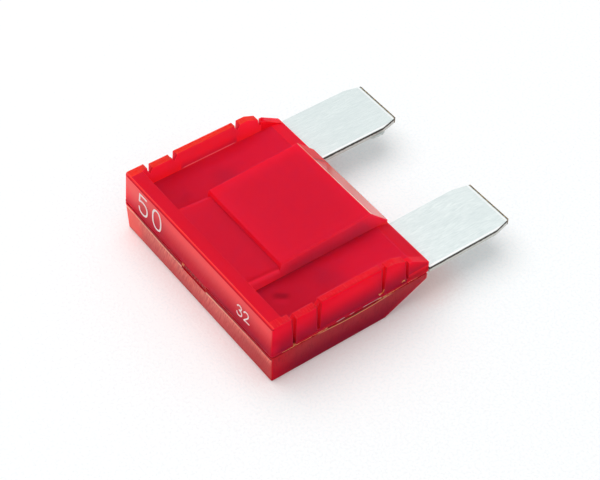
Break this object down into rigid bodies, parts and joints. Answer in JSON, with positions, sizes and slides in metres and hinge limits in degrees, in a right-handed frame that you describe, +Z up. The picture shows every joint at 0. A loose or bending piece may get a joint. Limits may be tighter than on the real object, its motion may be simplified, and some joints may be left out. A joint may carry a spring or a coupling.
{
  "type": "automotive blade fuse",
  "caption": "Large-format automotive blade fuse, 50 A size class: red two-shell moulded housing with a raised block and ribbed sides, and two flat 8 mm blades.",
  "frame": {"origin": "Middle of the fuse's footprint on the surface that it lies on, back down.", "axes": "X across the two blades, Y from the marked end towards the blade tips, Z up from the flat back to the raised block."},
  "size_m": [0.0292, 0.0342, 0.0089],
  "materials": {
    "front_red": "glossy, slightly translucent moulding",
    "back_red": "satin, slightly translucent moulding",
    "blade_metal": "bright plated zinc alloy, fine brush lines along the blades"
  },
  "bodies": {
    "root": {"front_shell": "front_red", "back_shell": "back_red", "fuse_element": "blade_metal"}
  },
  "joints": []
}
